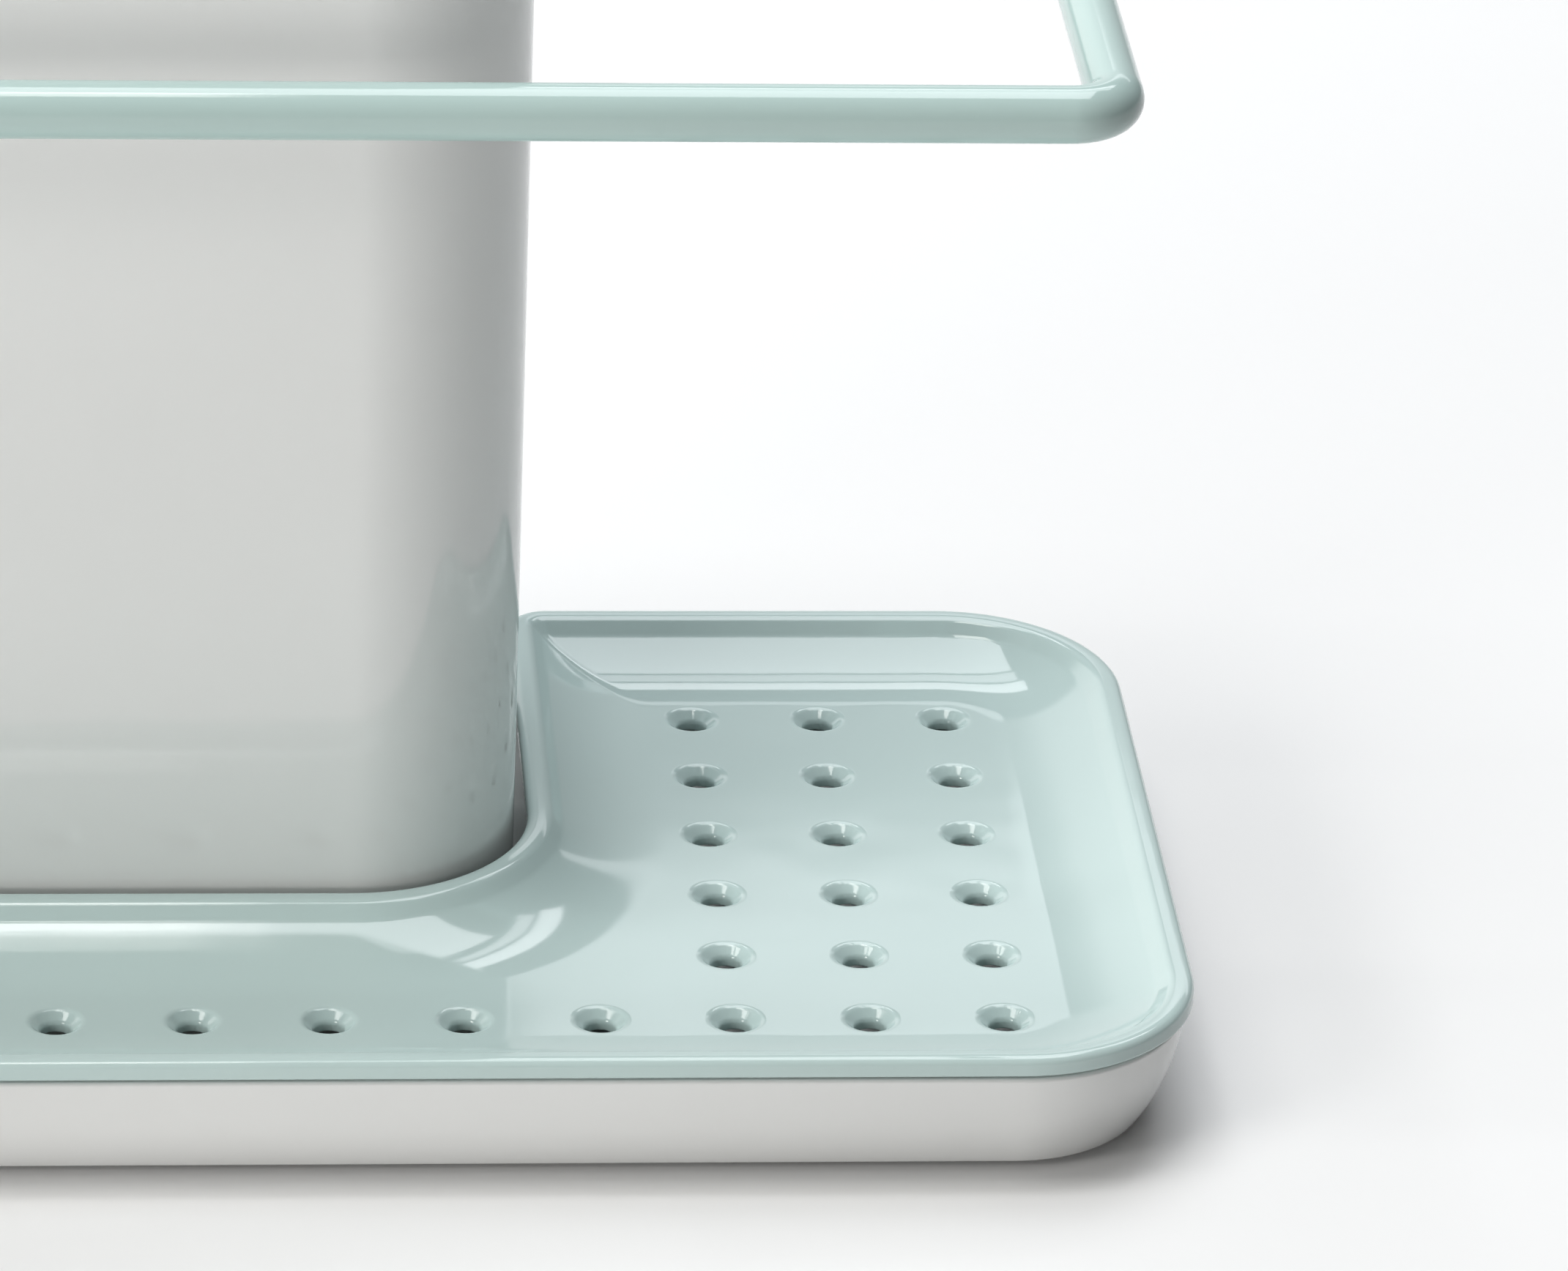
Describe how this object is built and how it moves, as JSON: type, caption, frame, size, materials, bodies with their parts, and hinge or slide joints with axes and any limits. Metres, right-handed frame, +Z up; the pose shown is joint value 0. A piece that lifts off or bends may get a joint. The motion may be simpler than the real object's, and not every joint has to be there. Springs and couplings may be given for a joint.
{
  "type": "kitchen sink caddy",
  "caption": "Free-standing sink caddy: perforated drip tray over a shallow reservoir, tall brush container with lift-out divider, and a rod rail round front and sides for cloths.",
  "frame": {"origin": "on the surface the caddy stands on, under the middle of its box", "axes": "+X along the caddy to the right seen from its front, +Y to its back, +Z up"},
  "size_m": [0.309, 0.14, 0.205],
  "materials": {
    "mint_plastic": "gloss",
    "white_plastic": "gloss",
    "mint_coated_rod": "satin gloss",
    "soft_pad": "matte"
  },
  "bodies": {
    "base": {"base_reservoir": "white_plastic", "foot_front_left": "soft_pad", "foot_front_right": "soft_pad", "foot_rear_left": "soft_pad", "foot_rear_right": "soft_pad"},
    "tray": {"draining_tray": "mint_plastic"},
    "container": {"brush_container": "white_plastic"},
    "divider": {"container_divider": "white_plastic"},
    "rail": {"cloth_rail": "mint_coated_rod", "rail_tip_left": "soft_pad", "rail_tip_right": "soft_pad"}
  },
  "joints": [
    {"name": "tray_lift", "type": "slide", "parent": "base", "child": "tray", "axis": [0, 0, 1], "range_m": [0, 0.04]},
    {"name": "container_lift", "type": "slide", "parent": "base", "child": "container", "axis": [0, 0, 1], "range_m": [0, 0.12]},
    {"name": "divider_lift", "type": "slide", "parent": "container", "child": "divider", "axis": [0, 0, 1], "range_m": [0, 0.16]},
    {"name": "rail_lift", "type": "slide", "parent": "container", "child": "rail", "axis": [0, 0, 1], "range_m": [0, 0.06]}
  ]
}
